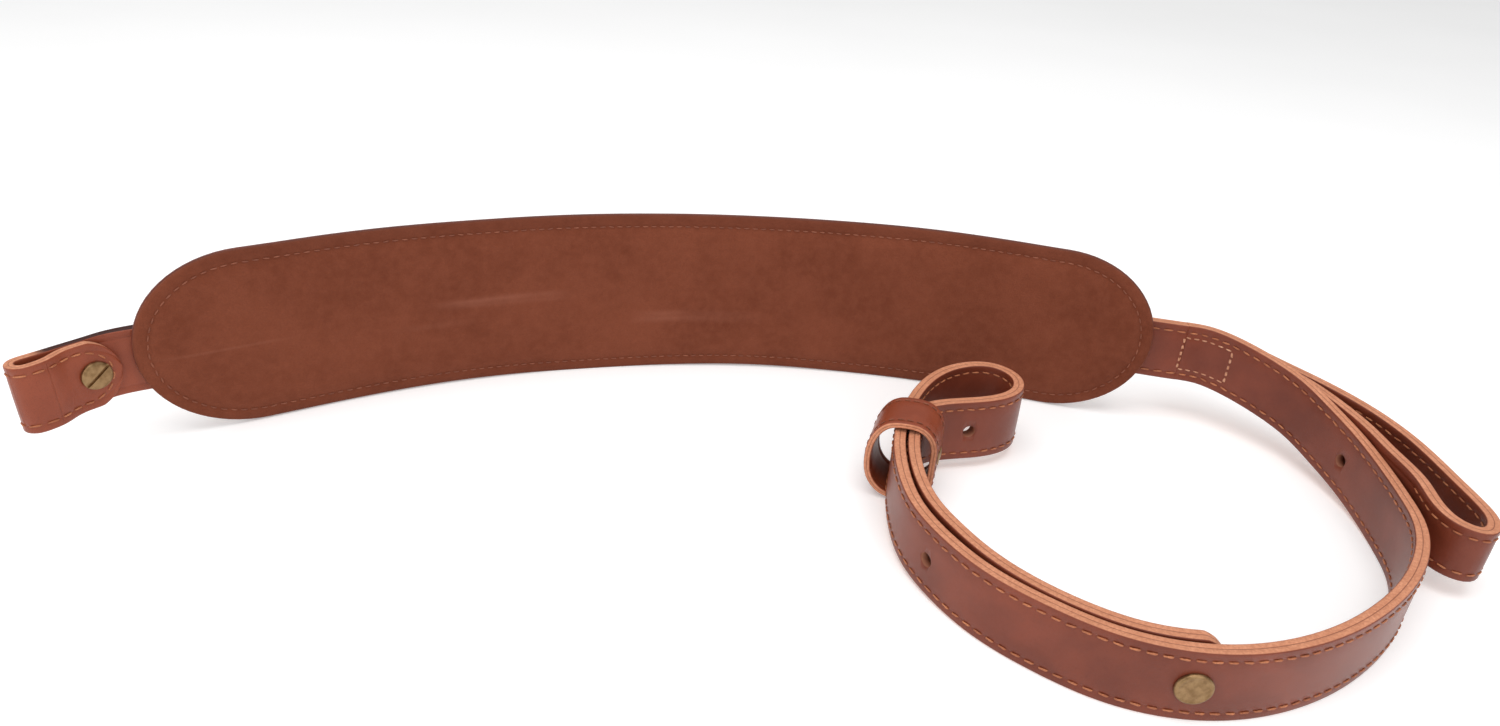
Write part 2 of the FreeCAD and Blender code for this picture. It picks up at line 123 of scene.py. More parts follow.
class Finish:
    """A material under construction, with a Principled shader at its end."""

    def __init__(self, name, **uniform):
        self.material = bpy.data.materials.new(name)
        self.material.use_nodes = True
        self.tree = self.material.node_tree
        self.shader = self.tree.nodes["Principled BSDF"]
        for socket, value in uniform.items():
            self.shader.inputs[socket.replace("_", " ")].default_value = value

    def node(self, kind, settings=None, inputs=None, output=0):
        made = self.tree.nodes.new("ShaderNode" + kind)
        for name, value in (settings or {}).items():
            setattr(made, name, value)
        for name, value in (inputs or {}).items():
            self.feed(made.inputs[name], value)
        return Wire(self, made.outputs[output])

    def feed(self, socket, value):
        if isinstance(value, Wire):
            self.tree.links.new(value.socket, socket)
        else:
            socket.default_value = value

    def number(self, value):
        wire = self.node("Value")
        wire.socket.default_value = value
        return wire

    def place(self):
        """Coordinates on the piece itself, in metres."""
        return self.node("TexCoord", output=3)

    def stretch(self, vector, scale):
        return self.node("Mapping", None, {"Vector": vector, "Scale": scale})

    def noise(self, scale, detail=3.0, rough=0.55, where=None):
        inputs = {"Vector": where or self.place(), "Scale": scale, "Detail": detail, "Roughness": rough}
        return self.node("TexNoise", None, inputs)

    def cells(self, scale, feature="DISTANCE_TO_EDGE", where=None):
        inputs = {"Vector": where or self.place(), "Scale": scale}
        return self.node("TexVoronoi", {"feature": feature}, inputs)

    def attribute(self, name):
        return self.node("Attribute", {"attribute_name": name}, output=2)

    def mix(self, factor, one, two):
        """Colour one where factor is 0, colour two where it is 1."""
        made = self.tree.nodes.new("ShaderNodeMix")
        made.data_type = "RGBA"
        self.feed(made.inputs[0], factor)
        self.feed(made.inputs[6], one)
        self.feed(made.inputs[7], two)
        return Wire(self, made.outputs[2])

    def bump(self, height, distance, strength=1.0):
        return self.node("Bump", None, {"Height": height, "Distance": distance, "Strength": strength})

    def wear(self, **sockets):
        for name, value in sockets.items():
            self.feed(self.shader.inputs[name.replace("_", " ")], value)
        return self.material


def colour(red, green, blue):
    return (red, green, blue, 1.0)


# %% [markdown]
# ## Grain leather
# Vegetable-tanned strap leather is dyed in the drum, so the brown goes through, and then waxed and
# glazed: the face is smooth, with a tight net of pores and a soft sheen that gets duller where the
# leather flexes. Large slow noise gives the uneven dye, a cell pattern a few tenths of a millimetre
# across gives the grain, and the same pattern drives the bump. A thin coat stands for the glaze.

# %% Leather finishes


def grain_leather(name, deep, bright, rough):
    f = Finish(name, Coat_Weight=0.04, Coat_Roughness=0.22, Specular_IOR_Level=0.3)
    dye = f.noise(18, 3).ramp(0.32, 0.7)
    mottle = f.noise(95, 4).ramp(0.35, 0.68)
    pores = f.cells(1900).ramp(0.0, 0.09)
    creases = f.cells(620).ramp(0.0, 0.05)
    base = f.mix(dye * 0.6 + mottle * 0.3, deep, bright)
    base = f.mix((1 - pores) * 0.25, base, colour(0.035, 0.008, 0.006))
    dull = f.noise(40, 2)
    height = pores * 0.6 + creases * 0.4 + f.noise(2600, 2) * 0.5
    gloss = rough + dull * 0.14 - pores * 0.04
    return f.wear(Base_Color=base, Roughness=gloss, Normal=f.bump(height, 0.00006, 0.55))


chestnut = grain_leather("chestnut leather", colour(0.140, 0.028, 0.013), colour(0.235, 0.050, 0.023), 0.30)
bright_leather = grain_leather("bright leather", colour(0.22, 0.043, 0.017), colour(0.33, 0.073, 0.030), 0.27)
cover_leather = grain_leather("cover leather", colour(0.11, 0.022, 0.012), colour(0.175, 0.038, 0.020), 0.36)
print("made", chestnut.name, "and two relatives of it")

# %% [markdown]
# ## Cut edges
# Where the strap is slit from the hide the knife shows the raw middle of the leather: pale tan, matt and
# slightly fibrous. Two thicknesses glued back to back leave a fine dark line between them, and the dye
# of the faces creeps a little way round the corners. On the short end strap the edge was rubbed with
# dye, so it is nearly black; that change follows the distance along the strap.

# %% Edge finishes


def cut_edge(name, dyed_until=None):
    f = Finish(name, Specular_IOR_Level=0.3)
    fibre = f.noise(900, 5, 0.7).ramp(0.3, 0.75)
    patch = f.noise(120, 2).ramp(0.3, 0.7)
    across = f.attribute("across")
    tan = f.mix(fibre, colour(0.50, 0.195, 0.105), colour(0.76, 0.345, 0.20))
    tan = f.mix(patch * 0.4, tan, colour(0.48, 0.18, 0.09))
    line = 1 - abs(across).ramp(0.02, 0.10)
    rim = abs(across).ramp(0.72, 1.02)
    tan = f.mix(line * 0.75, tan, colour(0.20, 0.07, 0.04))
    tan = f.mix(rim * 0.65, tan, colour(0.24, 0.07, 0.04))
    if dyed_until is not None:
        dyed = 1 - f.attribute("run").ramp(dyed_until - 0.006, dyed_until)
        dye = f.mix(fibre, colour(0.035, 0.010, 0.008), colour(0.07, 0.020, 0.014))
        tan = f.mix(dyed, tan, dye)
    valley = f.bump(fibre + line * -0.6, 0.00012, 0.5)
    return f.wear(Base_Color=tan, Roughness=0.62 + fibre * 0.22, Normal=valley)


raw_edge = cut_edge("raw cut edge")

# %% [markdown]
# ## Suede
# The pad is lined with suede, the flesh side of a split hide raised to a short nap. It scatters light,
# so it has no highlight, and it takes marks: fingers leave paler strokes where the nap lies down, and a
# faint crease crosses the narrow end. The marks are placed by two attributes of the lining, the distance
# along the pad and the height on it.

# %% Suede finish


def suede():
    f = Finish("suede lining", Sheen_Weight=0.12, Sheen_Roughness=0.5, Specular_IOR_Level=0.15)
    f.shader.inputs["Sheen Tint"].default_value = colour(0.75, 0.42, 0.30)
    nap = f.noise(1500, 4, 0.7).ramp(0.25, 0.75)
    clouds = f.noise(26, 4, 0.6).ramp(0.3, 0.72)
    tufts = f.noise(240, 4, 0.65).ramp(0.3, 0.7)
    run, high = f.attribute("run"), f.attribute("up")
    base = f.mix(clouds, colour(0.150, 0.036, 0.016), colour(0.205, 0.054, 0.026))
    base = f.mix(tufts * 0.45, base, colour(0.235, 0.066, 0.034))
    base = f.mix((1 - nap) * 0.35, base, colour(0.095, 0.024, 0.012))
    smear = f.noise(30, 3, 0.6, f.stretch(f.place(), (0.35, 0.35, 3.0))).ramp(0.45, 0.7)
    marks = None
    strokes = ((-0.072, 0.52, 0.034, 0.05, 0.8), (0.012, 0.36, 0.036, 0.06, 0.7),
               (-0.10, 0.40, 0.02, 0.03, 0.5), (-0.178, 0.47, 0.03, 0.012, 0.9))
    for at, height, long, wide, strength in strokes:
        along = 1 - abs(run - at).ramp(0.3 * long, long)
        upright = 1 - abs(high - height).ramp(0.2 * wide, wide)
        mark = along * upright * strength
        marks = mark if marks is None else marks + mark
    worn = (marks * (0.25 + smear * 0.75)).maths("MINIMUM", 1.0)
    base = f.mix(worn * 0.55, base, colour(0.34, 0.13, 0.085))
    edge = abs(high - 0.5).ramp(0.40, 0.5)
    base = f.mix(edge * 0.35, base, colour(0.10, 0.026, 0.014))
    fluff = f.bump(nap + tufts * 0.8, 0.00025, 0.55)
    return f.wear(Base_Color=base, Roughness=0.86 + nap * 0.1, Normal=fluff)


lining_suede = suede()

# %% [markdown]
# ## Thread and brass
# The thread is waxed polyester in an orange tan, with two twisted strands, and painted shade darkens it
# where it dives into its holes. The screws and posts are brass that was blackened and rubbed back: warm on
# the high parts, brown in every corner, with fine turning marks.

# %% Thread and brass finishes


def waxed_thread(name, one, two):
    f = Finish(name, Specular_IOR_Level=0.4)
    tone = f.attribute("tone")
    strand = f.noise(2500, 2).ramp(0.35, 0.65)
    base = f.mix(tone, one, two)
    base = f.mix((1 - strand) * 0.45, base, colour(0.16, 0.045, 0.02))
    # painted shade: the ends of each stitch, where the thread dips into its needle hole, are darkened
    base = f.mix(f.attribute("depth"), base, colour(0.12, 0.03, 0.015))
    return f.wear(Base_Color=base, Roughness=0.5 + strand * 0.15, Normal=f.bump(strand, 0.00008, 0.6))


def antique_brass(name):
    f = Finish(name, Specular_IOR_Level=0.5)
    cloud = f.noise(420, 4, 0.6).ramp(0.3, 0.7)
    speck = f.noise(2600, 3, 0.7).ramp(0.62, 0.78)
    base = f.mix(cloud, colour(0.20, 0.115, 0.050), colour(0.34, 0.215, 0.105))
    base = f.mix(speck * 0.6, base, colour(0.10, 0.055, 0.028))
    turned = f.noise(1400, 2, 0.5)
    return f.wear(Base_Color=base, Metallic=0.92 - speck * 0.4, Roughness=0.34 + cloud * 0.14 + speck * 0.2,
                  Normal=f.bump(turned, 0.00004, 0.4))


tan_thread = waxed_thread("tan thread", colour(0.38, 0.115, 0.045), colour(0.56, 0.20, 0.085))
pale_thread = waxed_thread("pale thread", colour(0.55, 0.23, 0.12), colour(0.78, 0.42, 0.26))
dark_thread = waxed_thread("dark thread", colour(0.20, 0.055, 0.028), colour(0.32, 0.10, 0.05))
brass = antique_brass("antique brass")
print("finishes:", len(bpy.data.materials))

# %% [markdown]
# ## Lines that straps follow
# A strap standing on its edge is a ribbon: a line in plan, a height for its lower edge, and a thickness
# either side. The line is a smooth cubic through a few points. Stations are counted by distance along
# it, because stitches, holes and the keeper are all set out by measuring along the leather.

# %% Smooth lines and stations


def smooth_points(points, step=0.35 * MM):
    """Cubic through the points with continuous curvature, sampled finely."""
    p = np.array(points, float)
    gaps = np.linalg.norm(np.diff(p, axis=0), axis=1)
    t = np.concatenate([[0], np.cumsum(gaps)])
    n = len(p)

    def parabola(a, b, c):
        one, two = (p[b] - p[a]) / (t[b] - t[a]), (p[c] - p[b]) / (t[c] - t[b])
        return one - (two - one) / (t[c] - t[a]) * (t[b] - t[a])

    matrix, right = np.eye(n), np.zeros((n, 3))
    right[0], right[-1] = parabola(0, 1, 2), parabola(n - 1, n - 2, n - 3)
    for i in range(1, n - 1):
        a, b = gaps[i - 1], gaps[i]
        matrix[i, i - 1:i + 2] = b, 2 * (a + b), a
        right[i] = 3 * (a * (p[i + 1] - p[i]) / b + b * (p[i] - p[i - 1]) / a)
    slope = np.linalg.solve(matrix, right)
    out = []
    for i in range(n - 1):
        count = max(2, int(gaps[i] / step))
        u = (np.arange(count + (i == n - 2)) / count)[:, None]
        h = gaps[i]
        out.append((2 * u**3 - 3 * u**2 + 1) * p[i] + (u**3 - 2 * u**2 + u) * h * slope[i]
                   + (3 * u**2 - 2 * u**3) * p[i + 1] + (u**3 - u**2) * h * slope[i + 1])
    return np.concatenate(out)


class Line:
    """A strap's line, with stations by distance."""

    def __init__(self, points, start=0.0, ready=False):
        self.p = np.array(points, float) if ready else smooth_points(points)
        self.s = start + np.concatenate([[0], np.cumsum(np.linalg.norm(np.diff(self.p, axis=0), axis=1))])
        slope = np.gradient(self.p, self.s, axis=0)
        slope[:, 2] = 0
        self.t = slope / np.linalg.norm(slope, axis=1)[:, None]
        self.end = self.s[-1]

    def at(self, s, off=0.0, z=0.0):
        """Point, direction and left-hand side at stations s."""
        s = np.atleast_1d(np.asarray(s, float))
        point = np.stack([np.interp(s, self.s, self.p[:, k]) for k in range(3)], 1)
        along = np.stack([np.interp(s, self.s, self.t[:, k]) for k in range(3)], 1)
        along /= np.linalg.norm(along, axis=1)[:, None]
        left = np.stack([-along[:, 1], along[:, 0], np.zeros(len(s))], 1)
        point[:, 2] = np.maximum(point[:, 2], 0)
        off, z = np.broadcast_to(off, s.shape), np.broadcast_to(z, s.shape)
        return point + left * off[:, None] + UP * z[:, None], along, left


# %% [markdown]
# ## Where everything is
# The pad is bent to one radius with straight ends, and both straps leave from lines just past its ends.
# The solid model already knows those lines: they are the swing joints. From them the long strap's route
# over the table is set out in steps along the pad's direction and across it, and the tail is laid beside
# the strap with a little air.

# %% The pad's curve and the straps' routes
PAD_LENGTH, PAD_HEIGHT, NOSE = 415 * MM, 72 * MM, 40 * MM
BEND_RADIUS, BENT = 345 * MM, 415 * 0.723 / 2 * MM
PAD_THICK, PLY, END_PLY, STRAP, HEM = 5.4 * MM, 2.2 * MM, 1.6 * MM, 25.4 * MM, 3.0 * MM
STRAP_RISE, HAND_WIDE = 20 * MM, 20 * MM
lining_low, lining_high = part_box("pad_lining")
pad_x, pad_y = (lining_low.x + lining_high.x) / 2, lining_high.y - 1.2 * MM


def pad_frame(s):
    """Suede face, direction and outward normal at distance s from the pad's middle."""
    s = np.atleast_1d(np.asarray(s, float))
    a = np.clip(s, -BENT, BENT) / BEND_RADIUS
    out = np.stack([np.sin(a), np.cos(a), np.zeros(len(a))], 1)
    along = np.stack([np.cos(a), -np.sin(a), np.zeros(len(a))], 1)
    centre = np.array([pad_x, pad_y - BEND_RADIUS, 0])
    return centre + out * BEND_RADIUS + along * (s - a * BEND_RADIUS)[:, None], along, out


right = np.array(joints["right_swing"]["pos_m"]) * (1, 1, 0)
left = np.array(joints["left_swing"]["pos_m"]) * (1, 1, 0)
pad_tip, tip_along, tip_out = (v[0] for v in pad_frame(PAD_LENGTH / 2))
RUN = [
    (-2.2, 0, 18.5), (8, 1, 18.4), (17.5, 2.6, 17.7), (31, -1, 15.8), (43.5, -7.5, 13.1), (54, -15, 10.1),
    (63, -26, 6.6), (71, -39.5, 3.4), (77, -56.5, 0.9), (80, -74, 0), (80.5, -89.5, 0), (77, -106.5, 0),
    (69.5, -124, 0), (58, -141.5, 0), (43, -158, 0), (24.5, -171.5, 0), (3.5, -179.5, 0), (-16, -180.5, 0),
    (-35.5, -175.5, 0), (-54, -167, 0.1), (-69, -155.5, 0.8), (-81, -142, 2.2), (-88, -127, 3.8),
    (-92.5, -105.5, 4.4), (-92, -80, 4.4), (-87, -58, 4.4), (-77, -43.5, 4.4), (-66, -39, 4.4),
    (-57, -44, 4.4),
    (-54.5, -55, 4.4), (-59, -63.5, 4.4), (-68, -70.5, 4.4), (-77, -75.5, 4.4),
]
HAND = [
    (85.5, -67, 9), (89, -82.5, 7.6), (93.5, -88, 7.2), (99.5, -89, 7), (103.5, -83, 7.1),
    (102.5, -72.5, 7.6), (98.5, -61, 8.3), (89, -38, 10), (77, -22, 11.8), (62.5, -9.5, 13.4),
]
LIFT = 20 / 18.5


def table(x, y, z):
    return right + tip_along * x * MM + tip_out * y * MM + UP * z * MM


def tail_gap(s):
    slack = max(0.0, 1 - abs(s - 345) / 45)
    return 0.9 + 1.1 * slack * slack * (3 - 2 * slack)


laid = [table(x, y, z * LIFT if i < 12 else z) for i, (x, y, z) in enumerate(RUN)]
first = Line(laid, -PLY)
beside = [first.at(s * MM, -(4.4 + tail_gap(s)) * MM)[0][0]
          for s in (424, 414, 403, 391, 378, 364, 349, 333, 316, 298, 282, 266, 258, 252)]
sling = Line(laid + beside, -PLY)
post_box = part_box("sling_post")
post_centre = (np.array(post_box[0]) + np.array(post_box[1])) / 2
tail_zone = np.linspace(0.6, sling.end, 2000)
tail_post = tail_zone[np.argmin(np.linalg.norm(
    sling.at(tail_zone)[0][:, :2] - first.at(266 * MM, -(4.4 + tail_gap(266)) * MM)[0][0][:2], axis=1))]
tail_tip = tail_post + 11.5 * MM
print("sling strap %.0f mm, tail ends at %.1f mm" % (sling.end * 1000, tail_tip * 1000))

# %% [markdown]
# ## Building a strap
# The strap's cross-section is drawn once: two broad faces with a shallow groove under each row of
# stitches, corners softened by an edge slicker, and a fine valley where the two plies meet. Sweeping
# that outline along a line makes the strap. Two attributes remember the place on the leather, how far
# across the thickness and how far along, for the finishes to use. A little wobble keeps it from looking
# machined.

# %% The strap builder


def mesh_object(name, verts, faces, materials, slots, attributes=None, smooth=True):
    mesh = bpy.data.meshes.new(name)
    mesh.from_pydata([tuple(v) for v in verts], [], [tuple(f) for f in faces])
    for material in materials:
        mesh.materials.append(material)
    mesh.polygons.foreach_set("material_index", np.array(slots, dtype=np.int32))
    mesh.polygons.foreach_set("use_smooth", np.full(len(faces), smooth))
    for key, values in (attributes or {}).items():
        layer = mesh.attributes.new(key, "FLOAT", "POINT")
        layer.data.foreach_set("value", np.array(values, dtype=np.float32))
    mesh.update()
    made = bpy.data.objects.new(name, mesh)
    bpy.context.scene.collection.objects.link(made)
    return made


def section(thick, width, hem=HEM):
    """Half-thickness offsets and heights round a doubled strap, with 1 where the cut edge shows."""
    t, w, e = thick / 2, width, 0.5 * MM
    spots = [(e, 0), (1.2 * MM, 0), (hem - 0.9 * MM, 0.02), (hem - 0.45 * MM, 0.12), (hem, 0.26),
             (hem + 0.45 * MM, 0.12), (hem + 0.9 * MM, 0.02), (0.3 * w, -0.03)]
    face = [(z, d) for z, d in spots] + [(w / 2, -0.05)] + [(w - z, d) for z, d in reversed(spots)]
    rim = [(t - 0.06 * MM, 0.26 * MM, 0), (t - 0.22 * MM, 0.07 * MM, 1), (t - e, 0, 1),
           (0.5 * t, -0.03 * MM, 1), (0.25 * MM, 0.0, 1), (0, 0.16 * MM, 1), (-0.25 * MM, 0.0, 1),
           (-0.5 * t, -0.03 * MM, 1), (e - t, 0, 1), (0.22 * MM - t, 0.07 * MM, 1),
           (0.06 * MM - t, 0.26 * MM, 0)]
    loop = [(t - d * MM, z, 0) for z, d in face]
    loop += [(off, w - drop, kind) for off, drop, kind in rim]
    loop += [(d * MM - t, z, 0) for z, d in reversed(face)]
    loop += [(off, drop, kind) for off, drop, kind in reversed(rim)]
    return loop


def strap(name, line, s0, s1, thick, width, materials, tip=False, thick_at=None, wobble=1.0, step=1.5 * MM):
    """Sweeps a strap section along a line from station s0 to s1."""
    r = 0.53 * width
    body_end = s1 - r if tip else s1
    count = max(4, int((body_end - s0) / step))
    stations = np.linspace(s0, body_end, count + 1)
    if tip:
        stations = np.concatenate([stations, body_end + r * np.sin(np.linspace(0.06, math.pi / 2, 16))])
    point, along, side = line.at(stations)
    loop = section(thick, width)
    verts, across, up, run = [], [], [], []
    for i, s in enumerate(stations):
        ahead = max(0.0, s - body_end) / r if tip else 0.0
        half = min(1.0, max(0.10, math.sqrt(max(0.0, 1 - ahead * ahead)) * r / (width / 2)))
        thin = (thick_at(s) / thick) if thick_at else 1.0
        a = noise.noise(Vector((point[i][0] * 26, point[i][1] * 26, 0.3))) * 0.16 * MM * wobble
        b = (noise.noise(Vector((point[i][0] * 17, point[i][1] * 17, 4.1))) + 0.4) * 0.22 * MM * wobble
        for off, z, kind in loop:
            zz = width / 2 + (z - width / 2) * half
            verts.append(point[i] + side[i] * (off * thin + a) + UP * (zz + b))
            across.append(off / (thick / 2))
            up.append(z / width)
            run.append(s)
    n, rows = len(loop), len(stations)
    faces, slots = [], []
    for i in range(rows - 1):
        for k in range(n):
            j = (k + 1) % n
            faces.append((i * n + k, i * n + j, (i + 1) * n + j, (i + 1) * n + k))
            slots.append(1 if loop[k][2] and loop[j][2] else 0)
    faces.append(tuple(reversed(range(n))))
    faces.append(tuple((rows - 1) * n + k for k in range(n)))
    slots += [1, 1]
    return mesh_object(name, verts, [f[::-1] for f in faces], materials, slots,
                       {"across": across, "up": up, "run": run})


def punch(target, centre, axis, radius, deep, wall):
    """Punches a round hole; its wall shows the raw leather."""
    turn = Vector(axis).to_track_quat("Z", "Y").to_matrix().to_4x4()
    rings, sides = 2, 40
    place = Matrix.Translation(Vector(centre)) @ turn
    verts = [place @ Vector((radius * math.cos(a), radius * math.sin(a), z))
             for z in (-deep / 2, deep / 2) for a in np.linspace(0, 2 * math.pi, sides, endpoint=False)]
    faces = [(i, (i + 1) % sides, sides + (i + 1) % sides, sides + i) for i in range(sides)]
    faces += [tuple(reversed(range(sides))), tuple(range(sides, rings * sides))]
    cutter = mesh_object("cutter", verts, faces, [wall], [0] * len(faces))
    boolean = target.modifiers.new("hole", "BOOLEAN")
    boolean.object, boolean.operation, boolean.solver = cutter, "DIFFERENCE", "EXACT"
    boolean.material_mode = "TRANSFER"
    apply_modifier(target, "hole")
    bpy.data.objects.remove(cutter, do_unlink=True)


def apply_modifier(target, name):
    """Makes a modifier's result permanent."""
    graph = bpy.context.evaluated_depsgraph_get()
    made = bpy.data.meshes.new_from_object(target.evaluated_get(graph))
    target.modifiers.clear()
    old, target.data = target.data, made
    bpy.data.meshes.remove(old)


# %% [markdown]
# ## Stitches
# A lockstitch shows as a row of short beads. Each bead follows the leather, rises out of one needle hole
# and dives into the next, and is twisted from two strands. One function lays a row of beads along any
# line of points on the leather, given the direction that faces away from it, and joins all rows of a
# piece into one mesh.

# %% The sewing function


def sew(name, rows, finish, pitch=4.4 * MM, thick=0.34 * MM, gap=0.95 * MM):
    """rows holds pairs of point and normal arrays; returns one object with every stitch."""
    verts, faces, tone, depth = [], [], [], []
    sides, marks = 8, np.linspace(-1, 1, 9)
    for points, normals in rows:
        run = np.concatenate([[0], np.cumsum(np.linalg.norm(np.diff(points, axis=0), axis=1))])
        count = max(1, int(run[-1] / pitch))
        real = run[-1] / count
        for k in range(count):
            middle = (k + 0.5) * real + rng.normal(0, 0.06) * MM
            half = (real - gap) / 2 * rng.uniform(0.94, 1.05)
            where = middle + marks * half
            core = np.stack([np.interp(where, run, points[:, c]) for c in range(3)], 1)
            out = np.stack([np.interp(where, run, normals[:, c]) for c in range(3)], 1)
            out /= np.linalg.norm(out, axis=1)[:, None]
            ahead = np.gradient(core, axis=0)
            ahead /= np.linalg.norm(ahead, axis=1)[:, None]
            wide = np.cross(ahead, out)
            slant = rng.normal(0.0, 0.10) * MM
            shade, base = rng.uniform(0, 1), len(verts)
            for i, u in enumerate(marks):
                body = math.sqrt(max(0.02, 1 - abs(u) ** 5))
                rise = 0.20 * MM - 0.55 * MM * abs(u) ** 6
                for j in range(sides):
                    angle = 2 * math.pi * j / sides
                    lobes = 1 + 0.16 * math.cos(2 * (angle - 2.6 * u))
                    verts.append(core[i] + out[i] * (rise + thick * 0.8 * body * lobes * math.sin(angle))
                                 + wide[i] * (thick * body * lobes * math.cos(angle) + slant * u))
                    tone.append(shade)
                    # depth is largest at the stitch ends that dip into the holes; the thread finish paints
                    # shade there
                    depth.append(min(1.0, abs(u) ** 8))
            for i in range(len(marks) - 1):
                for j in range(sides):
                    a, b = base + i * sides + j, base + i * sides + (j + 1) % sides
                    faces.append((a, b, b + sides, a + sides))
            faces.append(tuple(base + j for j in reversed(range(sides))))
            faces.append(tuple(base + (len(marks) - 1) * sides + j for j in range(sides)))
    return mesh_object(name, verts, faces, [finish], [0] * len(faces), {"tone": tone, "depth": depth})


def row_on(line, s0, s1, thick, side, z, sink=0.16 * MM):
    """Points and normals of one row of stitching on a strap's face; side is +1 for its left-hand face."""
    s = np.linspace(s0, s1, max(3, int((s1 - s0) / (0.8 * MM))))
    points, along, out = line.at(s, side * (thick / 2 - sink), z)
    return points, out * side


def rows_on(line, s0, s1, thick, width, sides=(1, -1)):
    return [row_on(line, s0, s1, thick, side, z) for side in sides for z in (HEM, width - HEM)]


# %% [markdown]
# ## The shoulder pad
# The pad is a sandwich: suede towards the shoulder, soft foam, grain leather outside, sewn together
# round the rim. The needle pulls the rim tight, so the suede swells just inside the seam. The surface is
# built from rings that follow the outline from the edge inwards, each pushed in or out by a profile, and
# the outline itself wavers by half a millimetre, because leather is cut by hand.

# %% Pad surfaces and seam


def pad_ring(inset, offset, straight=120, nose=34):
    """Points round the pad's outline, moved in by inset and off the suede face by offset."""
    flat = PAD_LENGTH / 2 - NOSE
    s, z = [], []
    for u in np.linspace(-1, 1, straight, endpoint=False):
        s.append(u * flat)
        z.append(1.0)
    for a in np.linspace(math.pi / 2, -math.pi / 2, nose, endpoint=False):
        s.append(flat + (NOSE - inset) * math.cos(a))
        z.append(math.sin(a))
    for u in np.linspace(1, -1, straight, endpoint=False):
        s.append(u * flat)
        z.append(-1.0)
    for a in np.linspace(-math.pi / 2, -1.5 * math.pi, nose, endpoint=False):
        s.append(-flat + (NOSE - inset) * math.cos(a))
        z.append(math.sin(a))
    s, z = np.array(s), np.array(z)
    wave = np.array([noise.noise(Vector((v * 14, 2.0 * round(float(k)), 0))) for v, k in zip(s, z)]) * 0.7 * MM
    height = PAD_HEIGHT / 2 + z * (PAD_HEIGHT / 2 - inset - 0.3 * MM + wave)
    point, along, out = pad_frame(s)
    swell = np.array([noise.noise(Vector((v * 11, h * 23, 7))) for v, h in zip(s, height)]) * 0.25 * MM
    depth = np.clip((inset - 5 * MM) / (12 * MM), 0, 1)
    return point + out * (offset + swell * depth)[:, None] + UP * height[:, None], s, height / PAD_HEIGHT, out


def pad_surface(name, profile, materials, split=None):
    verts, run, up, across = [], [], [], []
    for inset, offset in profile:
        ring, s, high, _ = pad_ring(inset * MM, offset * MM)
        verts.append(ring)
        run.append(s)
        up.append(high)
        across.append(np.full(len(s), offset / 2.7 - 1))
    n, rows = len(verts[0]), len(verts)
    faces, slots = [], []
    for i in range(rows - 1):
        for k in range(n):
            j = (k + 1) % n
            faces.append((i * n + k, i * n + j, (i + 1) * n + j, (i + 1) * n + k))
            slots.append(1 if split is not None and i < split else 0)
    # the two long sides of the innermost ring are joined across, and its noses are capped
    base, opposite = (rows - 1) * n, n - 34
    for k in range(120):
        faces.append((base + k, base + k + 1, base + opposite - k - 1, base + (opposite - k) % n))
        slots.append(0)
    for first_k in (120, opposite):
        faces.append([base + (first_k + i) % n for i in range(35)])
        slots.append(0)
    marks = {"run": np.concatenate(run), "up": np.concatenate(up), "across": np.concatenate(across)}
    return mesh_object(name, np.concatenate(verts), faces, materials, slots, marks)


front = [(0.5, 2.0), (0.1, 1.9), (0.0, 1.3), (0.15, 0.8), (0.5, 0.4), (1.2, 0.15), (2.4, 0.05),
         (3.6, 0.12), (4.2, 0.32), (4.7, 0.5), (5.2, 0.32), (5.9, 0.05),
         (7.0, -0.3), (9, -0.75), (12, -1.05), (16, -1.25), (22, -1.35),
         (29, -1.4)]
suede_piece = pad_surface("pad_suede", front, [lining_suede])
rear = [(0.6, 1.9), (-0.1, 2.0), (-0.25, 2.5), (-0.2, 3.1), (0.2, 3.7), (0.9, 4.15), (2.2, 4.4),
        (3.6, 4.35), (4.7, 4.05), (5.8, 4.4), (7.5, 4.8), (10, 5.15), (14, 5.34), (20, 5.37), (28, 5.37)]
cover_piece = pad_surface("pad_leather", rear, [cover_leather])
suede_piece.data.flip_normals()
seam_rows = []
for offset, side in ((0.42, -1), (4.15, 1)):
    ring, s, high, out = pad_ring(4.7 * MM, offset * MM)
    closed = np.concatenate([ring, ring[:1]])
    facing = np.concatenate([out, out[:1]]) * side
    if side > 0:
        # the strap sewn along the back covers the seam at mid height
        keep = (closed[:, 2] < STRAP_RISE - 1 * MM) | (closed[:, 2] > STRAP_RISE + STRAP + 1 * MM)
        cuts = np.flatnonzero(np.diff(keep.astype(int)))
        for part in np.split(np.arange(len(keep)), cuts + 1):
            if keep[part[0]] and len(part) > 4:
                seam_rows.append((closed[part], facing[part]))
    else:
        seam_rows.append((closed, facing))
pad_seam = sew("pad_stitches", seam_rows, dark_thread, pitch=3.6 * MM, thick=0.27 * MM, gap=1.0 * MM)
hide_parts("pad_lining", "pad_foam")
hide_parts("pad_cover")
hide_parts("pad_thread")
for piece in (suede_piece, cover_piece, pad_seam):
    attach(piece, "pad")
print("pad faces:", len(suede_piece.data.polygons) + len(cover_piece.data.polygons))
